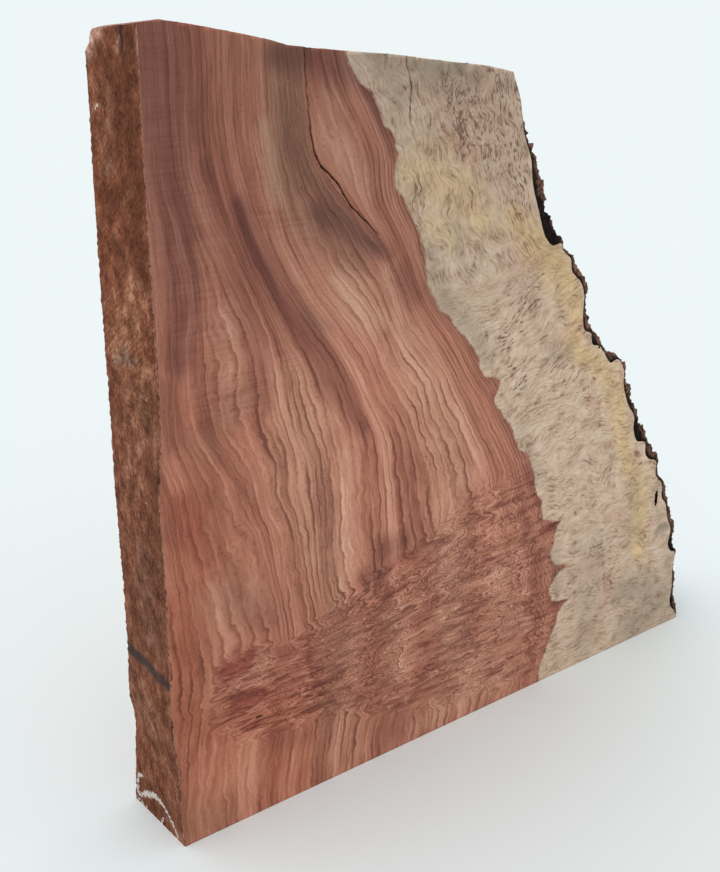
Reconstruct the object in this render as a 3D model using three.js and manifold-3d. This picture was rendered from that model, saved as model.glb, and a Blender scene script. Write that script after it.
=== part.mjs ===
// A slice of amboyna burl: one piece of wood with four sawn faces and a natural live edge.
// Millimetres, +Z up. +X runs along the sawn front face to the right and the front faces -Y.
// Outlines are given from the lower left corner of the front face, as [x, z] pairs. The
// finished slice is then centred, so that its origin is the middle of its bounding box's foot.

import * as THREE from "three";
import { mergeVertices } from "three/addons/utils/BufferGeometryUtils.js";
import Module from "manifold-3d";

const wasm = await Module();
wasm.setup();

// Driving dimensions
const FOOT_WIDTH = 290;
const LEFT_HEIGHT = 295;
const TOP_RIGHT = [157, 274.5];
const THICKNESS = 38;
const TOP_FALL = 3;

// Facet sizes: the live edge is cut finer than the sawn faces
const LIVE_STEP = 2;
const SAWN_STEP = 8;
const CRACK_STEP = 2;
const VOID_SEGMENTS = 10;
const WELD_DISTANCE = 1e-4;
const DEPTH_STEPS = [0, 0.8, 1.8, 3, 4.6, 6.6, 9, 11.8, 15, 18.6, 22.4, 26.2, 30.2, 34.2, 38];

// Front outline of the live edge, from the foot up to the top corner, as [x, z, bark]: bark is
// how far the bark just behind the front stands out past the outline. The outline's bays are
// the natural pits of the burl that the front saw cut has opened.
const LIVE_EDGE = [
  [FOOT_WIDTH, 0, 0.5], [289, 3.2, 1], [284.5, 8, 2.2], [283.2, 12, 3], [284, 19, 2.6],
  [283, 29, 1.6], [284, 38.5, 0.5], [280, 40.5, 3], [277.4, 45, 4.2], [278.6, 52, 2.8],
  [275, 60, 2.6], [272.6, 68, 2.5], [269.2, 72, 3.8], [268.6, 79, 1.2], [263, 85.5, 2.2],
  [262.6, 92.5, 1.8], [257.5, 94.6, 4.4], [254, 98, 5.2], [253, 104.5, 2], [247, 106.2, 5],
  [243.6, 114, 4], [244, 118.5, 2.2], [238.5, 126, 4.6], [234.3, 137, 2.6], [234.3, 142, 1],
  [229.5, 149, 1], [224.5, 148.2, 2.5], [221, 152, 0.3], [216.5, 157.2, 0.6], [211.5, 159, 3.5],
  [210.3, 164.2, 2], [206, 166.2, 4], [204.4, 173, 2.4], [204.4, 182, 2.4], [201.5, 188, 3.3],
  [196, 193, 3.6], [194.6, 199, 1.3], [190.2, 202, 0.3], [188.6, 205.8, 0.3], [183, 205.6, 5],
  [178.6, 210, 5.6], [174.3, 220.5, 5.2], [170.4, 231, 5.8], [168.4, 242, 2.6],
  [164, 252, 1.3], [161.6, 264, 0], [...TOP_RIGHT, 0],
];

// Sawn top, from its right corner to the slightly broken left corner
const TOP_EDGE = [
  TOP_RIGHT, [144, 277.2], [126, 279.3], [110, 281.3], [97, 283], [80, 284.4], [67, 285.8],
  [57, 286.6], [50, 288.5], [30, 292.4], [15, 294.9], [6, 296],
  [0, LEFT_HEIGHT],
];

// Rough left side, at the front arris and at the back arris, from the top to the foot. A
// shallow facet below 40 mm steps in from the bulge above it.
const LEFT_FRONT = [
  [0, LEFT_HEIGHT], [-0.3, 250], [0, 200], [-0.3, 160], [-1.9, 145], [-1.6, 105], [-2.3, 66],
  [-1.9, 46], [-1, 36], [-0.7, 20], [0, 0],
];
const LEFT_BACK = [
  [1.6, LEFT_HEIGHT], [1.2, 265], [0.6, 200], [0.8, 160], [0.5, 145], [0.9, 105], [0.9, 66],
  [0.2, 50], [2.1, 37], [1, 20], [0, 0],
];

// Live edge behind the front outline: it flares out, more slowly the deeper it lies, and
// carries rounded pits with ridges between them. It is plain at the foot and at the top corner.
const FLARE = 16;
const FLARE_DEPTH = 17;
const FLARE_SINK = 0.25;
const TOP_FLARE_SHARE = 0.25;
const LEVEL_FOOT = 60;
const BARK_DEPTH = 1.3;
const PIT_DEPTH = 5;
const PIT_LENGTH = 15;
const PIT_WIDTH = 13;
const PIT_START = 7;
const PIT_MEAN = 0.4;
const BARK_MEAN = 2.5;
const EVENING_REACH = 12;
const SLOPE_REACH = 4;
const EVENED_DEPTH = 22;
const PLAIN_TOP = 30;
const PLAIN_FOOT = 8;

// The pits' rows and columns wander by so many radians, over so many millimetres
const ROW_WANDER = { turn: 1.5, over: 6 };
const COLUMN_WANDER = { turn: 2, over: 21 };

// Drying cracks, from the top edge down, as [x, z, width], and the two small open voids in the
// front face
const LONG_CRACK = {
  line: [[61.5, 300, 0.45], [61, 281, 0.45], [62, 268, 0.45], [63.6, 256, 0.6],
    [66, 249, 0.7], [74, 241, 0.65], [79.5, 233, 0.6], [87, 226, 0.45], [93, 220, 0]],
  depth: 9,
};
const SHORT_CRACK = {
  line: [[103.6, 300, 0.45], [104.6, 280, 0.45], [107.2, 271, 0.5], [106.4, 262, 0.45],
    [110.5, 250, 0]],
  depth: 6,
};
const VOIDS = [
  { centre: [35, 43], halfWidth: 1.8, halfHeight: 0.6, depth: 3 },
  { centre: [265, 73], halfWidth: 0.9, halfHeight: 3.9, depth: 7 },
];

// A crack's width varies by a share of itself, and its line sways by so many millimetres, each
// by so many radians from one step to the next. Each cutter starts before the front face.
const CRACK_UNEVENNESS = 0.3;
const WIDTH_RHYTHM = 2.6;
const CRACK_SWAY = 0.2;
const SWAY_RHYTHM = 1.9;
const CUT_OVERSHOOT = 1;

// Corner broken off where the top, the back and the left side meet
const CHIP_CORNERS = [[0, 31.5, 292], [0, 38.5, 283], [9, 38.5, 291]];
const CHIP_CUTTER = 24;

// Points along a smooth curve, with even steps. The middle value is what each point carries
// besides its place: how far the bark stands out there, or how wide a crack is.
function stepAlong(outline, step) {
  const corners = outline.map(([x, z, carried = 0]) => new THREE.Vector3(x, carried, z));
  const curve = new THREE.CatmullRomCurve3(corners, false, "centripetal");
  return curve.getSpacedPoints(Math.ceil(curve.getLength() / step));
}

// The live edge with its bays evened out: each point moves to the mean of its neighbours
function evenedOut(points, step) {
  const reach = Math.round(EVENING_REACH / step);
  return points.map((point, i) => {
    const span = Math.min(reach, i, points.length - 1 - i);
    const mean = new THREE.Vector3();
    for (let k = i - span; k <= i + span; k += 1) {
      mean.addScaledVector(points[k], 1 / (2 * span + 1));
    }
    return mean;
  });
}

// How deep a pit is at this place on the live edge, from 0 on a ridge to 1 in a pit
function pitAt(along, depth) {
  const rowTurn = ROW_WANDER.turn * Math.sin(depth / ROW_WANDER.over);
  const columnTurn = COLUMN_WANDER.turn * Math.sin(along / COLUMN_WANDER.over);
  const rows = Math.sin((Math.PI * along) / PIT_LENGTH + rowTurn);
  const columns = Math.cos((Math.PI * depth) / PIT_WIDTH + columnTurn);
  return Math.abs(rows * columns);
}

function smoothStep(from, to, value) {
  return THREE.MathUtils.smoothstep(value, from, to);
}

const frontLive = stepAlong(LIVE_EDGE, LIVE_STEP);
const evenLive = evenedOut(frontLive, LIVE_STEP);
const topPoints = stepAlong(TOP_EDGE, SAWN_STEP);
const leftFront = stepAlong(LEFT_FRONT, SAWN_STEP);
const leftBack = stepAlong(LEFT_BACK, SAWN_STEP);

// Live edge points at one depth, from the foot up
function liveRing(depth) {
  const last = frontLive.length - 1;
  const evened = smoothStep(PIT_START, EVENED_DEPTH, depth);
  const bark = 1 - Math.exp(-depth / BARK_DEPTH);
  const flare = FLARE * (1 - Math.exp(-depth / FLARE_DEPTH));
  return evenLive.map((even, i) => {
    const before = evenLive[Math.max(0, i - SLOPE_REACH)];
    const after = evenLive[Math.min(last, i + SLOPE_REACH)];
    const outward = new THREE.Vector3(after.z - before.z, 0, before.x - after.x).normalize();
    if (i === 0) {
      outward.set(1, 0, 0);
    }
    const along = i * LIVE_STEP;
    const open = smoothStep(0, PLAIN_TOP, (last - i) * LIVE_STEP);
    const lifted = smoothStep(0, PLAIN_FOOT, along) * open;
    const standing = THREE.MathUtils.lerp(frontLive[i].y, BARK_MEAN * lifted, evened) * bark;
    const pitted = PIT_DEPTH * lifted * smoothStep(0, PIT_START, depth);
    const pit = pitted * (PIT_MEAN - pitAt(along, depth));
    const point = frontLive[i].clone().lerp(even, evened);
    const sink = FLARE_SINK * smoothStep(0, LEVEL_FOOT, point.z);
    const flared = flare * THREE.MathUtils.lerp(TOP_FLARE_SHARE, 1, open);
    point.addScaledVector(new THREE.Vector3(1, 0, -sink), flared);
    return point.addScaledVector(outward, standing + pit);
  });
}

// The whole outline at one depth, counter-clockwise as seen from the front
function ringAt(depth) {
  const share = depth / THICKNESS;
  const live = liveRing(depth);
  const corner = live[live.length - 1];
  const shift = corner.clone().sub(topPoints[0]).setY(0);
  const top = topPoints.map((point, i) => {
    const near = 1 - i / (topPoints.length - 1);
    return point.clone().addScaledVector(shift, near * near);
  });
  const left = leftFront.map((point, i) => point.clone().lerp(leftBack[i], share));
  top[top.length - 1].copy(left[0]);
  const ring = [...live, ...top.slice(1), ...left.slice(1)];
  const fall = 1 - (TOP_FALL / LEFT_HEIGHT) * share;
  return ring.map((point) => new THREE.Vector3(point.x, depth, Math.max(0, point.z * fall)));
}

// A closed body from the outlines at each depth, with its two flat sawn faces
function sawnBody() {
  const rings = DEPTH_STEPS.map(ringAt);
  const count = rings[0].length;
  const corners = rings.flat();
  const faces = [];
  for (let j = 0; j < rings.length - 1; j += 1) {
    for (let i = 0; i < count; i += 1) {
      const next = (i + 1) % count;
      const a = j * count + i;
      const b = (j + 1) * count + i;
      const c = (j + 1) * count + next;
      const d = j * count + next;
      faces.push(a, b, c, a, c, d);
    }
  }
  const flat = (ring) => ring.map((point) => new THREE.Vector2(point.x, point.z));
  for (const [a, b, c] of THREE.ShapeUtils.triangulateShape(flat(rings[0]), [])) {
    faces.push(a, b, c);
  }
  const back = (rings.length - 1) * count;
  for (const [a, b, c] of THREE.ShapeUtils.triangulateShape(flat(rings.at(-1)), [])) {
    faces.push(back + a, back + c, back + b);
  }
  const geometry = new THREE.BufferGeometry().setFromPoints(corners);
  geometry.setIndex(faces);
  return geometry;
}

function asSolid(geometry) {
  geometry.deleteAttribute("normal");
  geometry.deleteAttribute("uv");
  const merged = mergeVertices(geometry, WELD_DISTANCE);
  return new wasm.Manifold(new wasm.Mesh({
    numProp: 3,
    vertProperties: new Float32Array(merged.attributes.position.array),
    triVerts: new Uint32Array(merged.index.array),
  }));
}

function asGeometry(solid) {
  const mesh = solid.getMesh();
  const geometry = new THREE.BufferGeometry();
  geometry.setAttribute("position", new THREE.BufferAttribute(mesh.vertProperties, 3));
  geometry.setIndex(new THREE.BufferAttribute(mesh.triVerts, 1));
  return geometry;
}

// An outline in x and z pushed into the front face, from just before it to a depth
function cutInFront(shape, depth) {
  const geometry = new THREE.ExtrudeGeometry(shape, {
    depth: depth + CUT_OVERSHOOT,
    bevelEnabled: false,
    curveSegments: VOID_SEGMENTS,
  });
  geometry.rotateX(Math.PI / 2);
  geometry.translate(0, depth, 0);
  return asSolid(geometry);
}

// A crack sways and varies in width as it goes down, and runs out to a point
function crackCutter({ line, depth }) {
  const middle = stepAlong(line, CRACK_STEP);
  const last = middle.length - 1;
  const sides = middle.map((point, i) => {
    const ahead = middle[Math.min(last, i + 1)].clone().sub(middle[Math.max(0, i - 1)]);
    const across = new THREE.Vector2(ahead.z, -ahead.x).normalize();
    const uneven = 1 + CRACK_UNEVENNESS * Math.sin(WIDTH_RHYTHM * i);
    const half = (Math.max(0, point.y) / 2) * uneven;
    const sway = CRACK_SWAY * Math.sin(SWAY_RHYTHM * i);
    const centre = new THREE.Vector2(point.x, point.z).addScaledVector(across, sway);
    return {
      one: centre.clone().addScaledVector(across, half),
      other: centre.clone().addScaledVector(across, -half),
    };
  });
  const outline = sides.map((pair) => pair.one);
  outline.push(...sides.slice(0, last).reverse().map((pair) => pair.other));
  return cutInFront(new THREE.Shape(outline), depth);
}

function voidCutter({ centre, halfWidth, halfHeight, depth }) {
  const shape = new THREE.Shape();
  shape.absellipse(...centre, halfWidth, halfHeight, 0, 2 * Math.PI);
  return cutInFront(shape, depth);
}

// A block whose lower face lies on the broken corner's slope
function chipCutter() {
  const [a, b, c] = CHIP_CORNERS.map((corner) => new THREE.Vector3(...corner));
  const slope = new THREE.Plane().setFromCoplanarPoints(a, c, b);
  const middle = a.clone().add(b).add(c).divideScalar(3);
  const geometry = new THREE.BoxGeometry(CHIP_CUTTER, CHIP_CUTTER, CHIP_CUTTER);
  geometry.translate(0, 0, CHIP_CUTTER / 2);
  const up = new THREE.Vector3(0, 0, 1);
  geometry.applyQuaternion(new THREE.Quaternion().setFromUnitVectors(up, slope.normal));
  geometry.translate(middle.x, middle.y, middle.z);
  return asSolid(geometry);
}

// The slice, cracked, chipped and centred over its foot
function sliceGeometry() {
  let slice = asSolid(sawnBody());
  slice = slice.subtract(crackCutter(LONG_CRACK));
  slice = slice.subtract(crackCutter(SHORT_CRACK));
  for (const pocket of VOIDS) {
    slice = slice.subtract(voidCutter(pocket));
  }
  slice = slice.subtract(chipCutter());
  const geometry = asGeometry(slice);
  geometry.computeBoundingBox();
  const { min, max } = geometry.boundingBox;
  geometry.translate(-(min.x + max.x) / 2, -(min.y + max.y) / 2, -min.z);
  return geometry;
}

const burlWood = new THREE.MeshStandardMaterial({
  color: 0xa8806a,
  roughness: 0.7,
  metalness: 0,
});

const burlSlab = new THREE.Mesh(sliceGeometry(), burlWood);
burlSlab.name = "burl_slab";

const slice = new THREE.Group();
slice.add(burlSlab);

export default slice;
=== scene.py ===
import math
import bpy
import numpy as np
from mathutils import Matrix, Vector, noise


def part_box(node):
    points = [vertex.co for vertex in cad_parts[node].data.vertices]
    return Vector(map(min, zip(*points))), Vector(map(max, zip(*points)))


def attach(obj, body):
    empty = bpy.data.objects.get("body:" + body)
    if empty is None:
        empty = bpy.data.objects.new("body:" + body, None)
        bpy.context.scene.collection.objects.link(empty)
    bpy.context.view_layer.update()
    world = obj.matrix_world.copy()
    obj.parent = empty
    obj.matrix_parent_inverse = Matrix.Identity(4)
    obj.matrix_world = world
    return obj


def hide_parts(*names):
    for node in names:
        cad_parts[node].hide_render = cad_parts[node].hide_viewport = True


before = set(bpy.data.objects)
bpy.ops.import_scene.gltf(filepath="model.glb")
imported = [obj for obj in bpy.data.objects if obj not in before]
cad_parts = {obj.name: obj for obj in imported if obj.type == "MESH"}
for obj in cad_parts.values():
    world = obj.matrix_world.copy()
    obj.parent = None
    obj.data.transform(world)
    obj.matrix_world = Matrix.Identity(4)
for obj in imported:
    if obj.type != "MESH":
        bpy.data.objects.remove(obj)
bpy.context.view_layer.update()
scene = bpy.context.scene
MM = 0.001

# The view. The slice stands on a plain pale studio table, seen from its front left and from a
# little above, in a pale room, with a broad weak softbox high up, a little to the left.
CAMERA_PLACE = (-338.2 * MM, -363.1 * MM, 307.6 * MM)
CAMERA_TURN = -38.24
CAMERA_DIP = 20.26
CAMERA_LENS = 51.36
TABLE_SIZE = 60
ROOM_STRENGTH = 0.955
KEY_STRENGTH = 0.52
KEY_SPREAD = 60
KEY_TURN = -115
KEY_HEIGHT = 72


def linear(hex_colour):
    """An sRGB hex colour as linear red, green, blue and alpha."""
    parts = [int(hex_colour[i:i + 2], 16) / 255 for i in (1, 3, 5)]
    return [part / 12.92 if part <= 0.04045 else ((part + 0.055) / 1.055) ** 2.4
            for part in parts] + [1]


def add(tree, kind, inputs=None, stops=None, **settings):
    """One shader node, with its settings, and with each input's value or what feeds it."""
    new = tree.nodes.new("ShaderNode" + kind)
    for name, value in settings.items():
        setattr(new, name, value)
    for name, value in (inputs or {}).items():
        named = [found for found in new.inputs if found.enabled and found.name == name]
        socket = named[0] if named else new.inputs[name]
        if isinstance(value, bpy.types.Node):
            value = [found for found in value.outputs if found.enabled][0]
        if isinstance(value, bpy.types.NodeSocket):
            tree.links.new(value, socket)
        else:
            socket.default_value = value
    if stops:
        ramp = new.color_ramp.elements
        while len(ramp) < len(stops):
            ramp.new(1)
        for stop, (position, colour) in zip(ramp, stops):
            stop.position = position
            stop.color = linear(colour)
    return new


def empty_material(name):
    """A material whose tree holds nothing yet."""
    material = bpy.data.materials.new(name)
    material.use_nodes = True
    material.node_tree.nodes.clear()
    return material, material.node_tree


camera_data = bpy.data.cameras.new("camera")
camera_data.lens = CAMERA_LENS
camera = bpy.data.objects.new("camera", camera_data)
camera.location = CAMERA_PLACE
camera.rotation_euler = (math.radians(90 - CAMERA_DIP), 0, math.radians(CAMERA_TURN))
scene.collection.objects.link(camera)
scene.camera = camera

key_data = bpy.data.lights.new("softbox", "SUN")
key_data.energy = KEY_STRENGTH
key_data.angle = math.radians(KEY_SPREAD)
key_data.color = linear("#fff8ef")[:3]
key = bpy.data.objects.new("softbox", key_data)
key.rotation_euler = (math.radians(90 - KEY_HEIGHT), 0, math.radians(KEY_TURN))
scene.collection.objects.link(key)

world = bpy.data.worlds.new("pale room")
world.use_nodes = True
world.node_tree.nodes.clear()
room = add(world.node_tree, "Background", {"Color": linear("#ebeff3"), "Strength": ROOM_STRENGTH})
add(world.node_tree, "OutputWorld", {"Surface": room})
scene.world = world
scene.view_settings.view_transform = "Standard"

bpy.ops.object.select_all(action="DESELECT")
bpy.ops.mesh.primitive_plane_add(size=TABLE_SIZE)
table = bpy.context.object
table.name = "table"
paper, tree = empty_material("matt white paper")
surface = add(tree, "BsdfPrincipled", {"Base Color": linear("#f4faf9"), "Roughness": 0.8})
add(tree, "OutputMaterial", {"Surface": surface})
table.data.materials.append(paper)

# The slice's shape. One piece of amboyna burl, sawn on its front, back, foot, top and left side
# and left natural on its right. The sawn faces take a fine mesh for their figure, and the
# natural edge and the rough side one fine enough for fissures, torn fibre and broken arrises.
FACE_STEP = 1.5 * MM
SIDE_STEP = 1.1 * MM
# How long an edge along the rim may stay, and into how many more parts a longer one is cut
RIM_CUTS = ((3 * MM, 6), (1.3 * MM, 1))
QUAD_ANGLE = math.radians(60)
# How squarely a face looks along the thickness when it is one of the flat sawn ones
SQUARE_ON = 0.999
# Places in metres are compared rounded to this many digits
DIGITS = 7
# How far the block that carries the faces' fine mesh lies inside them, and reaches past them
FACE_SINK = 0.005 * MM
BLOCK_MARGIN = 4 * MM
# How near two points count as one: in the solid, and after the cut, which leaves slivers. And
# how near a place counts as on the outer faces or on the foot.
SAME_POINT = 0.001 * MM
SLIVER = 0.004 * MM
NEARLY = 0.01 * MM

low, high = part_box("burl_slab")
thickness = high.y - low.y
bpy.ops.object.select_all(action="DESELECT")
slice_piece = bpy.data.objects.new("burl_slice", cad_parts["burl_slab"].data.copy())
scene.collection.objects.link(slice_piece)
slice_piece.select_set(True)
bpy.context.view_layer.objects.active = slice_piece


def face_values(mesh):
    """Each face's normal and centre."""
    normals = np.empty(len(mesh.polygons) * 3)
    centres = np.empty(len(mesh.polygons) * 3)
    mesh.polygons.foreach_get("normal", normals)
    mesh.polygons.foreach_get("center", centres)
    return normals.reshape(-1, 3), centres.reshape(-1, 3)


def vertex_places(mesh):
    """Where each point of the mesh lies."""
    places = np.empty(len(mesh.vertices) * 3)
    mesh.vertices.foreach_get("co", places)
    return places.reshape(-1, 3)


def edge_ends(mesh):
    """The two ends of each edge."""
    ends = np.empty(len(mesh.edges) * 2, int)
    mesh.edges.foreach_get("vertices", ends)
    places = vertex_places(mesh)[ends.reshape(-1, 2)]
    return places[:, 0], places[:, 1]


def side_cuts(near, far):
    """How many cuts bring what an edge runs through the thickness down to the side's step."""
    return np.round(np.abs(near[:, 1] - far[:, 1]) / SIDE_STEP).astype(int) - 1


def pick(mode, chosen=None):
    """Edit mode with only these faces or edges selected, or with everything selected."""
    bpy.ops.object.mode_set(mode="EDIT")
    bpy.ops.mesh.select_mode(type=mode)
    bpy.ops.mesh.select_all(action="SELECT" if chosen is None else "DESELECT")
    if chosen is not None:
        bpy.ops.object.mode_set(mode="OBJECT")
        mesh = bpy.context.object.data
        parts = mesh.polygons if mode == "FACE" else mesh.edges
        parts.foreach_set("select", chosen)
        bpy.ops.object.mode_set(mode="EDIT")


pick("FACE")
bpy.ops.mesh.remove_doubles(threshold=SAME_POINT)
bpy.ops.object.mode_set(mode="OBJECT")
normals, centres = face_values(slice_piece.data)
pick("FACE", np.abs(normals[:, 1]) < SQUARE_ON)
bpy.ops.mesh.tris_convert_to_quads(face_threshold=QUAD_ANGLE, shape_threshold=QUAD_ANGLE)
bpy.ops.object.mode_set(mode="OBJECT")
for side in (-1, 1):
    normals, centres = face_values(slice_piece.data)
    outermost = centres[:, 1] * side > thickness / 2 - NEARLY
    pick("FACE", (normals[:, 1] * side > SQUARE_ON) & outermost)
    bpy.ops.mesh.dissolve_faces()
    bpy.ops.object.mode_set(mode="OBJECT")

levels = np.unique(np.round(vertex_places(slice_piece.data)[:, 1], DIGITS))
for longest, cuts in RIM_CUTS:
    near, far = edge_ends(slice_piece.data)
    level = np.abs(near[:, 1] - far[:, 1]) < SAME_POINT
    off_foot = np.maximum(near[:, 2], far[:, 2]) > NEARLY
    long = np.linalg.norm(near - far, axis=1) > longest
    pick("EDGE", level & off_foot & long)
    bpy.ops.mesh.subdivide(number_cuts=cuts, quadcorner="STRAIGHT_CUT")
    bpy.ops.object.mode_set(mode="OBJECT")
most_cuts = side_cuts(*edge_ends(slice_piece.data)).max()
for cuts in range(1, most_cuts + 1):
    near, far = edge_ends(slice_piece.data)
    near_level, far_level = [np.isin(np.round(end[:, 1], DIGITS), levels) for end in (near, far)]
    pick("EDGE", (side_cuts(near, far) == cuts) & near_level & far_level)
    bpy.ops.mesh.subdivide(number_cuts=cuts, quadcorner="STRAIGHT_CUT")
    bpy.ops.object.mode_set(mode="OBJECT")

width = high.x - low.x + BLOCK_MARGIN
height = high.z - low.z + BLOCK_MARGIN
bpy.ops.object.select_all(action="DESELECT")
bpy.ops.mesh.primitive_grid_add(
    x_subdivisions=round(width / FACE_STEP), y_subdivisions=round(height / FACE_STEP), size=1,
    location=((low.x + high.x) / 2, low.y + FACE_SINK, (low.z + high.z) / 2),
    rotation=(math.pi / 2, 0, 0))
fine_block = bpy.context.object
pick("FACE")
bpy.ops.transform.resize(value=(width, 1, height))
bpy.ops.mesh.extrude_region_move(
    TRANSFORM_OT_translate={"value": (0, thickness - 2 * FACE_SINK, 0)})
bpy.ops.mesh.select_all(action="SELECT")
bpy.ops.mesh.normals_make_consistent(inside=False)
bpy.ops.object.mode_set(mode="OBJECT")
bpy.ops.object.transform_apply(location=True, rotation=True, scale=True)

bpy.ops.object.select_all(action="DESELECT")
slice_piece.select_set(True)
bpy.context.view_layer.objects.active = slice_piece
shared = slice_piece.modifiers.new("fine faces", "BOOLEAN")
shared.operation = "INTERSECT"
shared.solver = "MANIFOLD"
shared.object = fine_block
bpy.ops.object.modifier_apply(modifier=shared.name)
bpy.data.objects.remove(fine_block)
pick("FACE")
bpy.ops.mesh.remove_doubles(threshold=SLIVER)
bpy.ops.object.mode_set(mode="OBJECT")

# Its rough parts. The left side was torn by a coarse saw, the natural edge is bark and cambium
# with fissures and lumps, the top was sawn across the grain, and the arrises are worn.

# All in millimetres. Places are measured from the front face's lower left corner, which is this
# far in from the slice's box, and the left side, the natural edge and the top have these limits.
LEFT_BULGE = 2.3
LEFT_TO = 6
NATURAL_FROM = 155
TOP_FROM = 268
ON_FOOT = 0.01
ON_FACE = 0.1
# How far each kind of roughness stands out, or how far what carries it lies back
TORN = 0.22
SPLINTERS = 0.16
LEFT_BACK = 0.2
BACK_FRAY = 0.55
CHIPS = 0.9
CHIPS_BACK = 0.3
BUMPS = 1.3
FISSURES = 1.4
FISSURE_WIDTH = 0.16
BARK_OUT = 0.2
GRIT = 0.8
TOP_ROUGH = 0.1
TORN_END = 0.5
TORN_END_BACK = 0.2
CRACK_WALLS = 0.14
WEAR = 0.22
# How much weaker and how much finer each further octave of the lumps is
FALL = 0.9
GAP = 2.1

mesh = slice_piece.data
normals, centres = face_values(mesh)
face_across = (centres[:, 0] - low.x) / MM - LEFT_BULGE
face_depth = (centres[:, 1] - low.y) / MM
face_up = centres[:, 2] / MM
flat_faces = (np.abs(normals[:, 1]) > SQUARE_ON) & (
    (face_depth < ON_FACE) | (face_depth > thickness / MM - ON_FACE))
foot_faces = face_up < ON_FOOT
left_faces = ~flat_faces & ~foot_faces & (normals[:, 0] < -0.5) & (face_across < LEFT_TO)
natural_faces = ~flat_faces & ~foot_faces & (face_across > NATURAL_FROM) & (
    (normals[:, 2] < 0.9) | (face_up < TOP_FROM))
top_faces = ~flat_faces & ~left_faces & ~natural_faces & (
    (normals[:, 2] > 0.8) & (face_up > TOP_FROM))
inner_faces = ~(flat_faces | foot_faces | left_faces | natural_faces | top_faces)


def corners_of(faces):
    """Which points the faces touch."""
    touched = np.zeros(len(mesh.vertices), bool)
    counts = np.empty(len(mesh.polygons), int)
    mesh.polygons.foreach_get("loop_total", counts)
    corners = np.empty(len(mesh.loops), int)
    mesh.loops.foreach_get("vertex_index", corners)
    touched[corners[np.repeat(faces, counts)]] = True
    return touched


def lumps(points, size, octaves, seed):
    """Noise from about -1 to 1 in lumps of a size in millimetres, or of one for each axis."""
    scaled = points / np.array(size, float) + seed
    return np.array([noise.fractal(Vector(point), FALL, GAP, octaves) for point in scaled])


places = vertex_places(mesh)
points = np.stack([(places[:, 0] - low.x) / MM - LEFT_BULGE, (places[:, 1] - low.y) / MM,
                   places[:, 2] / MM], 1)
outward = np.empty(len(mesh.vertices) * 3)
mesh.vertex_normals.foreach_get("vector", outward)
outward = outward.reshape(-1, 3)
on_face = corners_of(flat_faces)
on_foot = corners_of(foot_faces)
shift = np.zeros(len(points))

# The left side's fibre is torn on a slant, most of all high up. It is frayed along the back and
# front arrises, and chipped at the top of the back one.
rough = corners_of(left_faces)
here = points[rough]
tear = here @ np.array([[0.2], [0.6], [0.8]])
slant = np.hstack([here[:, 1:2] * 0.1 - here[:, 2:3] * 0.08, tear / 1.3, here[:, :1] / 4])
torn = lumps(slant, 1, 2, 3.1)
fray = np.interp(here[:, 2], [35, 60, 160, 185, 255, 275], [0.35, 0.6, 0.5, 1, 1, 0.7])
shift[rough] = TORN * fray * torn + SPLINTERS * lumps(here, 1.9, 2, 7.7) - LEFT_BACK
back_fray = np.interp(here[:, 1], [35.5, 38], [0, 1])
front_fray = np.interp(here[:, 1], [0, 2.5], [1, 0]) * np.interp(here[:, 2], [60, 90], [0.6, 0.3])
shift[rough] += (BACK_FRAY * back_fray + front_fray) * lumps(here, (9, 9, 1.3), 2, 1.3)
chipped = np.interp(here[:, 1], [27, 32], [0, 1]) * np.interp(here[:, 2], [279, 284], [0, 1])
shift[rough] += chipped * (CHIPS * lumps(here, (2.2, 1.6, 3.5), 2, 6.1) - CHIPS_BACK)

# The natural edge's bark is in lumps with fissures between them, set in behind the front arris,
# and gritty all over. It has come off near the top.
natural = corners_of(natural_faces)
here = points[natural]
behind = np.interp(here[:, 1], [0, 2.5], [0, 1])
barked = np.interp(here[:, 2], [250, 256.8], [1, 0.15])
bumps = lumps(here, (4, 5, 3.6), 3, 11.3)
fissure = np.clip(1 - np.abs(lumps(here, (4, 9, 3.4), 2, 5.5)) / FISSURE_WIDTH, 0, 1)
grit = lumps(here, (1.3, 1.8, 1.5), 2, 21.7)
shift[natural] = barked * behind * (BUMPS * bumps - FISSURES * fissure + BARK_OUT)
shift[natural] += GRIT * barked * grit

# The top is nearly smooth, but torn out at its left end
top = corners_of(top_faces) & ~rough & ~natural
shift[top] = TOP_ROUGH * (lumps(points[top], (2, 5, 2), 2, 2.2) - 1)
torn_end = np.interp(points[top][:, 0], [0, 5], [1, 0])
shift[top] += torn_end * (TORN_END * lumps(points[top], 1.4, 2, 9.2) - TORN_END_BACK)
inner = corners_of(inner_faces) & ~rough & ~natural & ~top
shift[inner] = CRACK_WALLS * lumps(points[inner], 1.2, 2, 4.4)
worn = on_face & (rough | natural | top)
shift[worn] -= WEAR

moved = outward * shift[:, None] * MM
moved[on_face, 1] = 0
moved[on_foot, 2] = 0
places += moved
places[:, 0] = np.clip(places[:, 0], low.x, high.x)
places[:, 2] = np.clip(places[:, 2], low.z, high.z)
mesh.vertices.foreach_set("co", places.ravel())
mesh.update()

# The slice's figure. The wood's growth lines, its burl, the border between the dark red
# heartwood and the pale sapwood, and the stains, all read off the sawn front face in
# millimetres from its lower left corner. They run straight through the thickness.
across, depth, up = points.T

LINE_HEIGHTS = [296, 270, 250, 235, 220, 205, 190, 175, 160, 150, 140, 130, 120, 105, 90, 75, 60,
                40, 20, 0]
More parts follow.
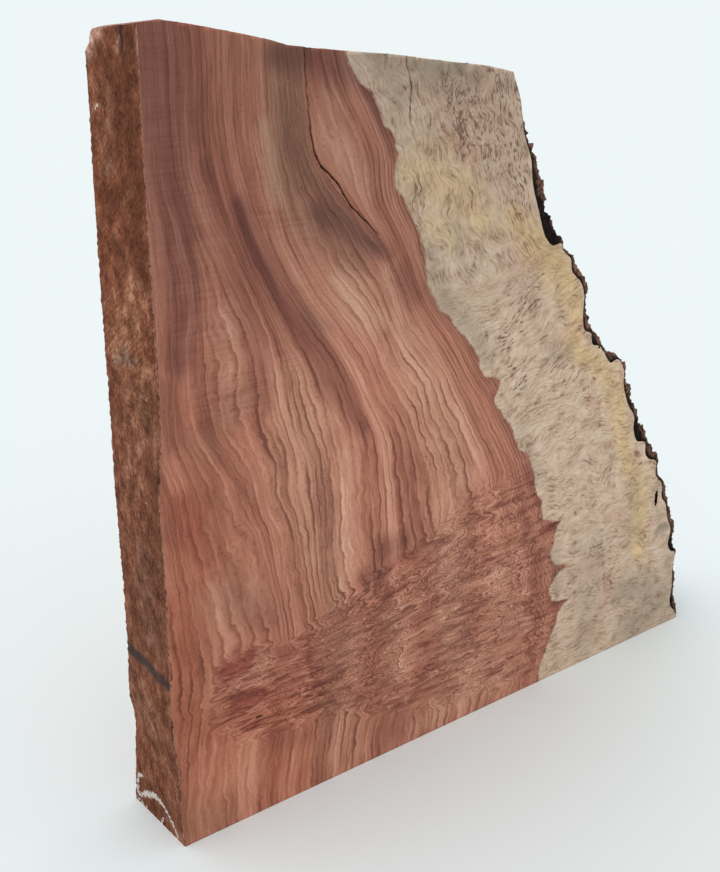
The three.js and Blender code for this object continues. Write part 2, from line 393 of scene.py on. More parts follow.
# Each growth line: where it counts as lying, then how far across it lies at each height above
GROWTH_LINES = [
    (-10, [-9, -9, -9, -9, -9, -9, -9, -9, -8, -7, -6, -5, -4, -3, -2, -1, 0, -2, -3, -3]),
    (-2, [-3, -3, -3, -2, -2, -2, -3, -3, -2, 0, 2, 4, 4, 7, 10, 13, 15, 12.5, 9, 7.5]),
    (5, [1, 1, 1.5, 3, 5, 5.5, 5, 4.5, 4, 7, 10, 12, 15, 19, 23, 27, 29, 26, 23, 21]),
    (13, [5, 5, 6.4, 9.6, 13, 14.6, 12, 10.5, 14, 19.5, 26.5, 28, 36.5, 39.5, 42.5, 47, 46, 42,
          38, 36]),
    (21, [9, 9, 10, 14, 18, 19.3, 19.8, 20.3, 23.5, 31, 38, 38.7, 44, 45, 48, 53, 55, 52, 48,
          46]),
    (29, [13, 13, 13.5, 18, 24, 30, 37.5, 40.3, 44.5, 49, 52, 51, 55, 55.8, 58, 63, 65, 62, 58,
          56]),
    (37, [19, 19, 20.5, 25, 32, 39, 46.5, 49.5, 53, 57, 61, 60.4, 63.4, 63.1, 64.4, 68, 73, 70,
          67, 65]),
    (47, [26, 26, 28, 31.5, 37, 45, 53, 61.5, 68.3, 72, 75, 74.8, 76.5, 77, 80, 84, 86, 83, 79,
          77]),
    (58, [33, 33, 35, 39.5, 45.5, 55, 66, 76, 84, 88.5, 92, 93, 94.7, 96, 98, 101, 102, 99, 95,
          92]),
    (66, [40, 41, 44, 47, 52.5, 61, 71.5, 80, 88, 93.5, 97.5, 99.3, 101, 103, 106, 110, 112,
          110, 106, 104]),
    (77, [48, 48, 49.8, 53.5, 60, 70.5, 82.5, 92, 101, 107, 112, 116, 119, 122, 126, 130, 132,
          130, 126, 124]),
    (92, [59, 61.3, 65, 79, 93, 101.5, 109, 118, 127.5, 133, 138, 143.5, 149.5, 152, 156, 160,
          162, 160, 156, 154]),
    (101, [69, 76, 86.5, 87.5, 96.5, 104.5, 112, 122.5, 133, 138.7, 144.7, 150, 158.5, 163, 168,
           173, 174, 173, 172, 170]),
    (118, [74, 89, 100.5, 101.5, 109.5, 115.5, 122, 136.5, 145.5, 155, 160, 166, 170.5, 179,
           185.8, 192, 194, 194, 194, 189.5]),
    (146, [115, 125, 135, 139, 146, 156, 167, 175, 185, 192, 198, 204, 210, 220, 228, 235, 240,
           242, 244, 246]),
    (178, [157, 162, 163.5, 170, 176, 190, 204, 207, 213, 228, 235, 237, 241, 252, 262, 268,
           275, 282, 285, 291]),
    (210, [190, 195, 196, 203, 209, 223, 237, 240, 246, 261, 268, 270, 274, 285, 295, 301, 308,
           315, 318, 324]),
]

LINE_STATIONS = [-5, 20, 45, 70, 90, 110, 130, 150, 170, 190, 210, 230, 250, 270, 295]
# The lines that cross the growth lines, along which the burl's curls and the sapwood's streaks
# lie: where each counts as lying, then how high it lies at each station across
CROSS_LINES = [
    (0, [-1] * 15),
    (20, [20, 20, 20, 20, 20, 20, 20, 20, 21, 21, 20, 19, 17, 14, 10]),
    (40, [38, 40, 40, 39, 39, 40, 40, 40, 40, 39, 38, 37, 36, 34, 32]),
    (56, [52, 54, 54, 54, 55, 56, 57, 57, 57, 56.5, 55.5, 55, 54, 54, 54]),
    (76, [68, 70, 69, 68, 70, 73, 75, 77, 79, 80.5, 80, 79, 78, 77, 76]),
    (95, [82, 84, 82, 84, 88, 92, 97, 101, 104, 107, 109, 110, 110, 108, 106]),
    (115, [100, 100, 100, 100, 104, 110, 115, 120, 128, 132, 134, 134, 130, 126, 120]),
    (140, [130, 130, 130, 130, 130, 134, 139, 144, 151, 160, 167, 172, 172, 168, 160]),
    (165, [170, 170, 170, 170, 170, 172, 174, 177, 189, 199, 204, 208, 208, 205, 200]),
    (190, [200, 200, 200, 200, 203, 205, 196, 192, 197, 207, 214, 218, 220, 220, 220]),
    (300, [310] * 15),
]

# The border, from the top down: heartwood on the left, sapwood on the right
BORDER = [
    (76, 296), (77.5, 284.7), (79, 280), (81.5, 276.5), (85, 273), (89, 270), (91, 267),
    (93, 263), (95, 259), (98, 256.5), (100, 252.5), (100.7, 248), (100.5, 244), (99.5, 240),
    (100.5, 236.5), (103, 233.5), (105, 230), (108, 226), (110, 222), (112, 218.5), (114, 213),
    (115, 208), (116, 203), (117, 198), (119, 194.5), (122, 190), (127, 185), (131, 180.5),
    (135, 176.5), (138, 173), (141, 169.5), (143.5, 165.5), (145, 161), (147, 157.5),
    (149, 156.5), (153, 155.8), (155.5, 155), (156, 152.5), (155, 149.5), (154, 146),
    (155.5, 143), (158, 140.5), (160, 136), (163, 133.5), (166, 129.5), (167, 125),
    (170, 120.5), (174, 118), (176, 115), (178, 110), (179.5, 105), (181, 100), (183, 96),
    (185.5, 91), (186, 86), (186.5, 83.5), (191, 81.5), (194, 80.2), (199, 80), (196, 77.5),
    (195, 73), (194.5, 68), (192.5, 65), (193, 61.5), (196, 58.5), (199, 57), (205, 55.6),
    (199, 54), (196.5, 51), (193.5, 47), (194, 43), (196, 40), (200, 38.5), (207, 37.5),
    (203, 35.5), (200, 32), (199, 27), (196.5, 22), (194, 17), (192, 12), (190, 8), (189.5, 4),
    (189.5, -1),
]
SMOOTHING = 5
# How far a stroke reaches, its last part fading out, over its half width
STROKE_REACH = 1.25


def field(lines, stations, position, offset):
    """How far a point lies across a family of lines, told from what each line counts as. The
    lines' courses are smoothed first, over SMOOTHING millimetres."""
    steps = np.arange(min(stations) - 20, max(stations) + 20)
    reach = 3 * SMOOTHING
    window = np.exp(-0.5 * (np.arange(-reach, reach + 1) / SMOOTHING) ** 2)
    order = np.argsort(stations)
    total = np.full(len(position), float(lines[0][0]))
    courses = []
    for _, course in lines:
        course = np.interp(steps, np.array(stations)[order], np.array(course, float)[order])
        course = np.pad(course, reach, mode="edge")
        course = np.convolve(course, window / window.sum(), "valid")
        courses.append(np.interp(position, steps, course))
    for (one, _), (other, _), here, there in zip(lines, lines[1:], courses, courses[1:]):
        total += (other - one) * np.clip((offset - here) / (there - here), 0, 1)
    return total


def distance_to(points, x, z):
    """Distance to a line through points, and how far along its list of points that is."""
    nearest = np.full(len(x), 1e9)
    place = np.zeros(len(x))
    for i, (start, end) in enumerate(zip(points, points[1:])):
        run = np.array(end[:2], float) - start[:2]
        share = ((x - start[0]) * run[0] + (z - start[1]) * run[1]) / max(run @ run, 1e-9)
        share = np.clip(share, 0, 1)
        gap = np.hypot(x - start[0] - share * run[0], z - start[1] - share * run[1])
        place = np.where(gap < nearest, i + share, place)
        nearest = np.minimum(nearest, gap)
    return nearest, place


def stain(strokes, x, z):
    """Soft strokes, each with its strength and its points as across, up, half width."""
    total = np.zeros(len(x))
    for strength, points in strokes:
        points = points if len(points) > 1 else points * 2
        gap, place = distance_to(points, x, z)
        half = np.interp(place, range(len(points)), [point[2] for point in points])
        total = np.maximum(total, strength * np.clip(STROKE_REACH - gap / half, 0, 1))
    return total


def keep_on(name, values):
    """The values as an attribute of the slice's points, which its materials read."""
    attribute = mesh.attributes.new(name, "FLOAT", "POINT")
    attribute.data.foreach_set("value", np.asarray(values, np.float32))


border_gap, _ = distance_to(BORDER, across, up)
border_across, border_up = np.array(BORDER[::-1]).T
border_side = np.interp(up, border_up, border_across) - across
keep_on("inside_border", border_gap * np.sign(border_side))
growth_place = field(GROWTH_LINES, LINE_HEIGHTS, up, across)
keep_on("growth", growth_place)
keep_on("crosswise", field(CROSS_LINES, LINE_STATIONS, across, up))

# The burl lies between these two heights, which change across the face, and fades out over a
# few millimetres inside them and beside the left side
BURL_TOP_FADE = 14
BURL_FOOT_FADE = 8
burl_top = np.interp(across, [-5, 20, 45, 70, 85, 110, 130, 150, 175, 300],
                     [60, 77, 74, 82, 89, 94, 104, 113, 118, 125])
burl_foot = np.interp(across, [-5, 15, 35, 70, 110, 300], [60, 38, 30, 27, 12, -20])
burl = np.clip((burl_top - up) / BURL_TOP_FADE, 0, 1)
burl *= np.clip((up - burl_foot) / BURL_FOOT_FADE, 0, 1)
burl *= np.interp(across, [14, 24], [0.1, 1])
keep_on("burl", burl)
# Below this height the sapwood's streaks lie across the growth lines, and above it along them
STREAKS_FADE = 12
streaks_turn = np.interp(across, [100, 150, 180, 210, 290], [196, 196, 206, 200, 150])
keep_on("streaks_across", np.clip((streaks_turn - up) / STREAKS_FADE, 0, 1))

# Strokes of each stain and mark on the front face: its strength, then its points as across, up
# and half width
PURPLE_BROWN = [
    (1.1, [(4, 292, 14), (6, 270, 15), (8, 250, 14), (10, 232, 12), (11, 212, 9), (9, 190, 7)]),
    (0.55, [(3, 182, 4), (3, 160, 4)]),
    (1.0, [(50, 284, 6), (68, 284, 11), (76, 279, 9)]),
    (0.75, [(80, 277, 4), (89, 268, 3.5), (94, 258, 3), (98, 250, 2.5)]),
    (1.0, [(34, 238, 4), (39, 222, 6.5), (48, 207, 7.5), (58, 192, 8), (67, 178, 7.5),
           (74, 166, 7), (80, 156, 5), (85, 149, 4)]),
    (0.55, [(20, 252, 4), (24, 232, 5), (34, 205, 5), (38, 192, 5), (40, 176, 4),
            (43, 165, 3)]),
    (0.8, [(66, 232, 6), (77, 226, 6), (88, 219, 6), (98, 213, 4)]),
    (0.7, [(104, 205, 7), (110, 196, 6)]),
    (0.95, [(97, 95, 8), (106, 96, 6)]),
    (0.7, [(88, 86, 6), (96, 84, 5)]),
    (0.8, [(103, 10, 9), (107, 17, 7)]),
    (0.6, [(42, 30, 8), (56, 26, 6)]),
    (0.35, [(42, 86, 12)]),
]
GREY = [
    # The first stroke darkens the lower left corner by the foot
    (0.7, [(6, 8, 14), (16, 6, 10)]),
    (0.5, [(283, 22, 7), (286, 6, 8)]),
    (0.8, [(51, 284, 8), (52, 262, 8), (54, 243, 9), (61, 231, 10), (74, 221, 8), (84, 213, 6)]),
    (0.8, [(57.5, 290, 4), (57.5, 268, 4), (59, 256, 4), (61.5, 246, 4.5), (69, 238, 4.5),
           (75, 230, 4.5), (83, 222, 4), (91, 215, 4)]),
    (0.6, [(86, 284, 4), (96, 280, 6), (101, 268, 5)]),
    (0.5, [(22, 98, 12), (32, 92, 10)]),
    (0.5, [(24, 165, 8), (32, 172, 8)]),
    (0.5, [(60, 196, 4), (70, 190, 3)]),
    (0.4, [(90, 287, 6), (102, 286, 6), (101, 276, 5)]),
    (0.95, [(108, 278.5, 3), (120, 276.5, 4), (131, 276, 4)]),
    (0.5, [(110, 277, 6), (130, 272, 9)]),
    (0.7, [(117, 212, 5), (121, 200, 6), (126, 190, 5), (140, 178, 5), (150, 163, 4)]),
    (0.55, [(131, 222, 2.5), (131.5, 208, 2.5), (140, 200, 2)]),
    (0.9, [(245, 30, 9), (262, 24, 14), (276, 14, 12), (255, 8, 14)]),
    (0.7, [(278, 36, 6), (281, 28, 5)]),
    (1.3, [(267, 54, 1.6), (271, 56, 3), (276, 54.5, 2)]),
    (1.0, [(272, 51, 1.2), (275, 51, 1.2)]),
    (0.8, [(265, 69, 1.2), (268, 64, 1.4), (272, 61, 1.2)]),
    (0.5, [(196, 65, 5), (200, 46, 4)]),
    (0.45, [(170, 131, 4), (180, 107, 3)]),
    (0.5, [(265, 78, 5)]),
    (0.4, [(186, 162, 7), (196, 158, 7)]),
    (0.45, [(222, 58, 11), (222, 34, 12), (220, 12, 11)]),
    (0.4, [(250, 88, 7), (249, 58, 8)]),
]
TAN = [
    (0.6, [(72, 270, 6), (70, 258, 7), (78, 248, 7), (88, 238, 6)]),
    (0.7, [(52, 176, 8), (56, 160, 16), (60, 138, 20), (66, 115, 20), (70, 95, 14)]),
    (0.7, [(104, 182, 8), (112, 165, 14), (124, 145, 17), (132, 124, 17), (128, 106, 12)]),
    (0.35, [(160, 64, 12), (165, 40, 14), (158, 25, 10)]),
    (0.5, [(130, 92, 14), (138, 78, 10)]),
    (0.6, [(74, 62, 12), (72, 36, 12), (72, 12, 14)]),
    (0.7, [(134, 86, 10), (132, 60, 12), (134, 34, 14), (164, 12, 14)]),
    (1.0, [(44, 262, 3.5), (46, 250, 3.5), (49, 238, 3)]),
    (0.9, [(64, 104, 7), (72, 92, 9), (72, 80, 7)]),
    (0.9, [(76, 207, 7), (82, 200, 9), (92, 190, 7)]),
    (0.8, [(60, 158, 5), (63, 142, 7), (66, 125, 7)]),
    (0.5, [(46, 160, 5), (48, 145, 6), (46, 128, 5)]),
    (0.8, [(97, 205, 5), (104, 180, 5), (116, 160, 7), (124, 142, 7), (132, 128, 7),
           (138, 114, 6)]),
    (0.7, [(118, 6, 8), (135, 12, 11), (155, 10, 11)]),
    (0.6, [(134, 67, 5)]),
    (0.6, [(178, 34, 5)]),
    (0.5, [(38, 65, 6), (36, 60, 5)]),
    (0.5, [(75, 76, 4)]),
    (0.5, [(28, 182, 7), (27, 203, 5)]),
    (0.45, [(15, 158, 5), (20, 154, 5)]),
    (0.4, [(12, 66, 6), (13, 52, 6)]),
    (0.5, [(102, 64, 9), (104, 38, 8)]),
]
RED = [
    (0.3, [(16, 285, 18), (24, 250, 18), (33, 222, 14), (24, 190, 18), (20, 165, 14)]),
    (0.25, [(70, 284, 8), (74, 264, 8)]),
    (0.35, [(28, 54, 18), (56, 54, 16)]),
    (1.3, [(22, 68, 5), (29, 68, 5.5), (32, 71, 3.5)]),
    (0.7, [(26, 75, 3)]),
    (1.4, [(24, 51, 3.5), (31, 53, 5.5), (37, 51.5, 3)]),
    (1.1, [(28, 42, 4), (33, 41, 3)]),
    (0.7, [(45, 66, 3.5), (56, 66, 4.5), (60, 61, 3)]),
    (0.7, [(55, 58, 3), (62, 53, 4.5), (60, 45, 4), (64, 42, 3)]),
    (0.6, [(44, 47, 2.5), (60, 46, 3), (75, 47, 2.5)]),
    (0.5, [(70, 38, 3), (78, 37, 3)]),
    (0.9, [(119, 43.5, 2.5), (126, 43, 3)]),
    (0.8, [(115, 33, 3), (124, 33, 3)]),
    (0.6, [(118, 63, 3), (128, 62, 2.5)]),
    (0.6, [(121, 57, 3), (112, 55, 2.5)]),
    (0.5, [(100, 74, 4), (105, 76, 3)]),
    (0.7, [(152, 73, 2.5), (160, 72.5, 2.5)]),
    (0.8, [(188, 76, 4), (194, 78, 3)]),
    (0.7, [(188, 36, 3.5), (200, 37, 2.5)]),
    (0.7, [(158, 17, 3), (172, 18.5, 2)]),
    (0.6, [(100, 88, 3), (112, 88, 3)]),
    (0.7, [(8, 138, 6), (9, 128, 6), (12, 118, 4), (15, 113, 3.5)]),
    (0.6, [(175, 110, 4), (180, 100, 4), (184, 92, 3)]),
    (0.25, [(170, 8, 6), (182, 6, 6)]),
    (0.5, [(15, 108, 4)]),
]
STRAW = [
    (0.65, [(108, 241, 9), (120, 238, 13), (134, 230, 12), (142, 220, 9)]),
    (0.5, [(112, 250, 5), (124, 248, 6)]),
    (0.45, [(118, 222, 7), (128, 215, 6)]),
    (0.85, [(160, 220, 6), (168, 212, 9), (178, 203, 11), (190, 192, 11), (197, 182, 9),
            (201, 172, 7)]),
    (0.8, [(198, 166, 7), (204, 156, 6), (213, 151, 6), (222, 143, 7), (230, 136, 7),
           (232, 124, 8), (236, 110, 6.5), (242, 97, 7), (250, 84, 8), (254, 70, 8),
           (253, 58, 8), (256, 46, 6)]),
    (0.6, [(226, 130, 5), (224, 140, 5)]),
    (0.4, [(145, 226, 6), (152, 214, 6)]),
    (0.4, [(255, 90, 5), (260, 82, 4)]),
]
PINK = [
    (0.5, [(118, 268, 10), (140, 268, 10), (150, 256, 10), (156, 240, 8)]),
    (0.9, [(124, 254, 4), (131, 250, 6), (138, 245, 5)]),
    (0.5, [(124, 262, 6), (134, 258, 6)]),
    (0.4, [(150, 236, 6), (160, 226, 6)]),
    (0.5, [(178, 200, 5), (158, 200, 5)]),
    (0.7, [(212, 134, 4), (217, 130, 3)]),
    (0.5, [(214, 170, 5), (190, 165, 7)]),
    (0.6, [(236, 72, 5), (243, 65, 4)]),
    (0.6, [(232, 36, 6), (238, 42, 5), (231, 25, 5)]),
    (0.6, [(228, 12, 6), (222, 17, 5)]),
    (0.4, [(215, 50, 8), (240, 52, 6)]),
    (0.4, [(262, 60, 5)]),
]
DARK_MARKS = [
    (1, [(170.5, 181, 1.1), (173.5, 183, 1.3), (178, 184.3, 0.8)]),
    (1, [(177.5, 169.8, 1), (179, 171.5, 1)]),
    (1, [(163, 156.5, 1.3), (165, 157, 1.1)]),
    (0.8, [(160, 158, 1.2)]),
    (0.8, [(161.5, 154.5, 1)]),
    (1, [(164.5, 147.6, 1), (168, 149.3, 1.1), (172, 153, 0.8)]),
    (0.8, [(156, 179, 0.8), (160, 182, 0.8)]),
    (0.9, [(170, 189.5, 0.8), (176, 193, 1), (181, 195.5, 0.8)]),
    (0.8, [(183, 191, 0.8), (187, 193, 0.8)]),
    (0.9, [(194.5, 178.5, 0.9), (196.5, 180, 0.9)]),
    (0.9, [(204.5, 141, 0.8), (208, 145, 0.8)]),
    (0.7, [(190, 142, 0.7), (193, 143, 0.7)]),
    (0.7, [(184, 117, 0.7), (186, 117.5, 0.7)]),
    (0.7, [(196, 155, 0.7), (204, 158, 0.7)]),
    (0.9, [(219, 59.6, 0.7), (229, 59.8, 0.8)]),
    (0.7, [(209, 58, 0.7), (215, 58.3, 0.9)]),
    (0.9, [(222, 37.5, 0.7), (225, 37.5, 0.7)]),
    (0.7, [(243, 22.3, 0.7), (249, 22.6, 0.7)]),
    (0.8, [(246.5, 39, 0.8)]),
    (0.8, [(236.5, 72, 1.6)]),
    (0.8, [(221, 82.5, 0.9)]),
    (0.8, [(133, 261, 0.7), (140, 261, 0.7), (140, 259, 0.7)]),
    (0.7, [(135, 266.5, 0.7), (140, 266.5, 0.7)]),
    (0.6, [(142, 238.8, 0.6), (148, 238.3, 0.6)]),
    (0.7, [(156, 217, 0.7), (159, 211, 0.9), (162, 205, 0.7)]),
    (0.6, [(122, 252.5, 0.8), (130, 252.5, 0.9)]),
    (0.8, [(174, 28.3, 1.1)]),
    (0.9, [(170, 19.3, 0.8), (175, 17.9, 0.8)]),
    (0.8, [(126, 17.3, 0.9)]),
    (0.8, [(106, 14, 0.9), (108, 13, 0.9)]),
    (0.8, [(94, 13, 0.8), (96, 11, 0.7)]),
    (0.8, [(41, 47, 0.8), (50, 46.3, 0.8), (57, 45.5, 0.9), (62, 45.3, 1.2), (66, 46, 0.8)]),
    (0.8, [(67, 55.2, 0.7), (78, 56.5, 0.8)]),
    (0.8, [(70, 47, 0.8), (79, 49.5, 0.8)]),
    (0.7, [(46, 39, 0.8), (60, 38, 0.9), (64, 38.3, 0.8)]),
    (0.7, [(68, 33.5, 0.8), (75, 33.3, 0.8)]),
    (0.9, [(58.5, 60, 0.9), (58, 54, 0.8)]),
    (0.7, [(22, 54, 0.8), (36, 54.6, 0.9)]),
]
CLOSED_CRACKS = [
    (0.6, [(61.5, 296, 0.6), (61, 281, 0.7), (62, 268, 0.9)]),
    (0.85, [(62, 268, 0.9), (63.6, 256, 1), (66, 249, 1.1), (74, 241, 1), (79.5, 233, 1),
            (87, 226, 1), (94.5, 219.5, 1), (98, 216, 0.8)]),
    (0.7, [(104, 284, 0.7), (104.6, 280, 0.7), (107.2, 271, 0.8), (106.4, 262, 0.8),
           (110.5, 250, 0.7), (112, 247, 0.6)]),
]
WARM = [
    (0.8, [(2, 100, 12), (4, 60, 12), (18, 30, 22), (44, 36, 24), (50, 10, 18)]),
    (0.8, [(10, 14, 24)]),
    (0.6, [(8, 135, 12), (10, 110, 12)]),
]
# Where the band saw left its lines, where the sapwood has dashes, and where it has ringed eyes
SAW_MARKS = [
    (0.8, [(4, 290, 8), (6, 270, 12), (12, 240, 16), (14, 215, 16), (22, 190, 16)]),
    (1, [(22, 176, 12), (36, 172, 12)]),
    (0.6, [(40, 240, 12), (60, 225, 12), (62, 205, 10)]),
    (0.5, [(52, 184, 12), (66, 170, 10)]),
    (0.5, [(92, 96, 8), (104, 92, 8)]),
]
DASHED = [
    (1, [(150, 276, 7), (155, 260, 9), (158, 242, 9), (163, 224, 7)]),
    (0.8, [(142, 262, 6), (148, 244, 7)]),
    (0.7, [(172, 200, 9), (168, 184, 9), (158, 168, 8), (166, 150, 8)]),
    (0.5, [(190, 150, 12), (206, 140, 10)]),
    (0.5, [(225, 58, 9), (240, 40, 8), (225, 38, 8)]),
]
EYED = [
    (1.3, [(126, 272, 8), (130, 262, 10), (136, 250, 9)]),
    (0.6, [(112, 262, 6), (118, 254, 6)]),
    (0.6, [(146, 258, 8), (148, 240, 7)]),
]

for name, strokes in (("purple_brown", PURPLE_BROWN), ("grey", GREY), ("tan", TAN),
                      ("red", RED), ("straw", STRAW), ("pink", PINK), ("warm", WARM),
                      ("dark_marks", DARK_MARKS), ("closed_cracks", CLOSED_CRACKS),
                      ("saw_marks", SAW_MARKS), ("eyed", EYED)):
    keep_on(name, stain(strokes, across, up))
keep_on("dashed", 0.05 + 0.95 * stain(DASHED, across, up))
# The thin growth lines are weak on the left and high up, and strong by the border
line_weight = np.interp(up, [8, 45, 160, 215, 280], [0.55, 1, 1, 0.6, 0.45])
line_weight *= np.interp(growth_place, [8, 26], [0.4, 1]) + np.interp(up, [70, 100], [0.5, 0])
near_border = np.interp(border_gap, [6, 22], [1, 0]) * np.interp(up, [190, 230], [0.9, 1.2])
keep_on("line_weight", np.maximum(line_weight, near_border))
# The upper part is painted darker, a painted shade where less light falls high up, and the lower
# part lighter. The sawn top is lighter, and the cracks' walls are dark.
painted_shade_by_height = np.where(border_side > 0, np.interp(up, [165, 215, 290], [1.18, 0.95, 0.8]),
                np.interp(up, [165, 225, 265, 290], [1.18, 1.05, 0.93, 0.77]))
keep_on("shade", np.where(top, 1.4, np.where(inner & ~on_face, 0.6, painted_shade_by_height)))

# The sawn wood's finish. Heartwood of dull red brown and sapwood of pale fawn, sawn and lightly
# sanded, with no oil or lacquer: a matt surface on which the growth lines, curls and pores are
# colour, and open grain is the only relief. Fibre, pores and hairs are drawn coarse, to show.
HEART_MEAN = "#9c6855"
SAP_MEAN = "#b69d88"
CURL_REACH = 26
LINE_SPACING = 3
# The width of what on the real wood is mostly under 0.2 mm wide, in millimetres
FIBRE = 0.7
HAIR = 0.5
OPEN_GRAIN_DEPTH = 0.1 * MM


def object_place(tree):
    """Where a point of the slice lies in millimetres, whole and as its x, y and z."""
    at = add(tree, "TexCoord").outputs["Object"]
    at = add(tree, "VectorMath", {"Vector": at, "Scale": 1 / MM}, operation="SCALE")
    return at, *add(tree, "SeparateXYZ", {"Vector": at}).outputs


def sized(tree, parts):
    """Where a texture is read: three values, each over the size of its features along it."""
    scaled = [add(tree, "Math", {0: value, 1: 1 / size}, operation="MULTIPLY")
              for value, size in parts]
    return add(tree, "CombineXYZ", dict(zip("XYZ", scaled)))


def pattern(tree, *parts, **look):
    """Noise with features of real sizes: three values, each with its size in millimetres."""
    return add(tree, "TexNoise", {"Vector": sized(tree, parts), "Scale": 1, **look})


def stained(tree, colour, mean, stains, uneven):
    """The colour under stains, which keep the figure: attribute, tint and strength of each."""
    for name, tint, strength in stains:
        amount = add(tree, "Attribute", attribute_name=name).outputs["Fac"]
        held = add(tree, "Math", {0: amount, 1: uneven}, operation="MULTIPLY", use_clamp=True)
        share = add(tree, "Math", {0: held, 1: strength}, operation="MULTIPLY")
        ratio = [part / whole for part, whole in zip(linear(tint), linear(mean))]
        colour = add(tree, "Mix", {"Factor": share, "A": colour, "B": ratio}, data_type="RGBA",
                     blend_type="MULTIPLY")
    return colour


def marked(tree, colour, marks, broken, reach):
    """The colour under marks that a noise breaks up at their rims. Of each mark: its attribute,
    its tint, where it sets in, where it is full, and how much it then covers."""
    for name, tint, start, full, most in marks:
        amount = add(tree, "Attribute", attribute_name=name).outputs["Fac"]
        amount = add(tree, "Math", {0: broken, 1: reach, 2: amount}, operation="MULTIPLY_ADD")
        share = add(tree, "MapRange", {"Value": amount, "From Min": start, "From Max": full,
                                       "To Max": most}, interpolation_type="SMOOTHSTEP")
        colour = add(tree, "Mix", {"Factor": share, "A": colour, "B": linear(tint)},
                     data_type="RGBA")
    return colour


sawn_wood, tree = empty_material("sawn amboyna wood")
place, x, y, z = object_place(tree)
growth, crosswise, in_burl, border, turned, line_share, saw_marks, dashed, eyed, shade = [
    add(tree, "Attribute", attribute_name=name).outputs["Fac"] for name in (
        "growth", "crosswise", "burl", "inside_border", "streaks_across", "line_weight",
        "saw_marks", "dashed", "eyed", "shade")]

# Curls: in the burl the growth lines swing to and fro, in strips a few millimetres high
curl = pattern(tree, (x, 17), (y, 30), (crosswise, 4), Detail=2, Roughness=0.5)
swing = add(tree, "Math", {0: curl, 1: -0.5}, operation="ADD")
reach = add(tree, "MapRange", {"Value": in_burl, "To Min": 1.2, "To Max": CURL_REACH})
by_border = add(tree, "MapRange", {"Value": border, "From Min": 2, "From Max": 32, "To Min": 0.6,
                                   "To Max": 1.1})
reach = add(tree, "Math", {0: reach, 1: by_border}, operation="MULTIPLY")
curled = add(tree, "Math", {0: swing, 1: reach, 2: growth}, operation="MULTIPLY_ADD")
wander = pattern(tree, (x, 24), (y, 40), (z, 34), Detail=1)
line = add(tree, "Math", {0: wander, 1: 5, 2: curled}, operation="MULTIPLY_ADD")
wiggle = pattern(tree, (x, 4), (y, 25), (z, 4.2), Detail=1.5)
wiggle_reach = add(tree, "MapRange", {"Value": z, "From Min": 140, "From Max": 190,
                                      "To Min": 1.3, "To Max": 0.6})
line = add(tree, "Math", {0: wiggle, 1: wiggle_reach, 2: line}, operation="MULTIPLY_ADD")

# Growth lines: soft bands, and thin dark lines 2 to 6 mm apart, closest by the border. Each
# sets in slowly from one side and ends sharply at the other, where a pale line starts and
# fades. Fainter dark ones lie between them.
bands = pattern(tree, (line, 8), (y, 60), (z, 110), Detail=3, Roughness=0.6)
spacing = pattern(tree, (line, 15), (y, 90), (z, 240), Detail=1)
crowding = add(tree, "MapRange", {"Value": border, "From Max": 24, "To Min": 1.8, "To Max": 0})
count = add(tree, "Math", {0: line, 1: 1 / LINE_SPACING, 2: crowding}, operation="MULTIPLY_ADD")
count = add(tree, "Math", {0: spacing, 1: 3.6, 2: count}, operation="MULTIPLY_ADD")
in_ring = add(tree, "Math", {0: count}, operation="FRACT")
set_in = add(tree, "MapRange", {"Value": in_ring, "From Min": 0.52, "From Max": 0.92},
             interpolation_type="SMOOTHSTEP")
set_off = add(tree, "MapRange", {"Value": in_ring, "From Min": 0.92, "From Max": 1, "To Min": 1,
                                 "To Max": 0}, interpolation_type="SMOOTHSTEP")
ring_edge = add(tree, "Math", {0: set_in, 1: set_off}, operation="MULTIPLY")
weight = pattern(tree, (line, 4), (y, 60), (z, 22), Detail=1)
weight = add(tree, "MapRange", {"Value": weight, "From Min": 0.36, "From Max": 0.66,
                                "To Min": 0.05, "To Max": 0.48})
dark_lines = add(tree, "Math", {0: ring_edge, 1: weight}, operation="MULTIPLY")
dark_lines = add(tree, "Math", {0: dark_lines, 1: line_share}, operation="MULTIPLY")
pale_lines = add(tree, "MapRange", {"Value": in_ring, "From Min": 0, "From Max": 0.35,
                                    "To Min": -0.1, "To Max": 0.03})
fine_count = add(tree, "Math", {0: count, 1: 2.6}, operation="MULTIPLY")
in_fine = add(tree, "Math", {0: fine_count, 1: 0.5}, operation="PINGPONG")
fine_weight = add(tree, "MapRange", {"Value": in_burl, "To Min": 0.09, "To Max": 0.48})
fine_lines = add(tree, "MapRange", {"Value": in_fine, "From Max": 0.2, "To Min": fine_weight,
                                    "To Max": 0}, interpolation_type="SMOOTHSTEP")
fine_lines = add(tree, "Math", {0: fine_lines, 1: line_share}, operation="MULTIPLY")
fibre = pattern(tree, (line, FIBRE), (y, 8), (z, 9), Detail=2)
fibre_swing = add(tree, "Math", {0: fibre, 1: -0.5}, operation="ADD")
pores = pattern(tree, (line, HAIR), (y, 2), (z, 1.1), Detail=1)
pores = add(tree, "MapRange", {"Value": pores, "From Min": 0.6, "From Max": 0.78,
                               "To Max": 0.25})

# Dark strips lie across the burl, and a band saw has left faint level lines high up on the left
strips = pattern(tree, (x, 15), (y, 20), (crosswise, 1.9), Detail=3, Distortion=0.8)
strips = add(tree, "MapRange", {"Value": strips, "From Min": 0.45, "From Max": 0.68,
                                "To Min": -0.09, "To Max": 0.38})
strips = add(tree, "Math", {0: strips, 1: in_burl}, operation="MULTIPLY")
saw_lines = pattern(tree, (x, 14), (y, 50), (z, 0.9), Detail=2)
saw_lines = add(tree, "MapRange", {"Value": saw_lines, "From Min": 0.38, "From Max": 0.68,
                                   "To Min": -0.07, "To Max": 0.12})
saw_lines = add(tree, "Math", {0: saw_lines, 1: saw_marks}, operation="MULTIPLY")

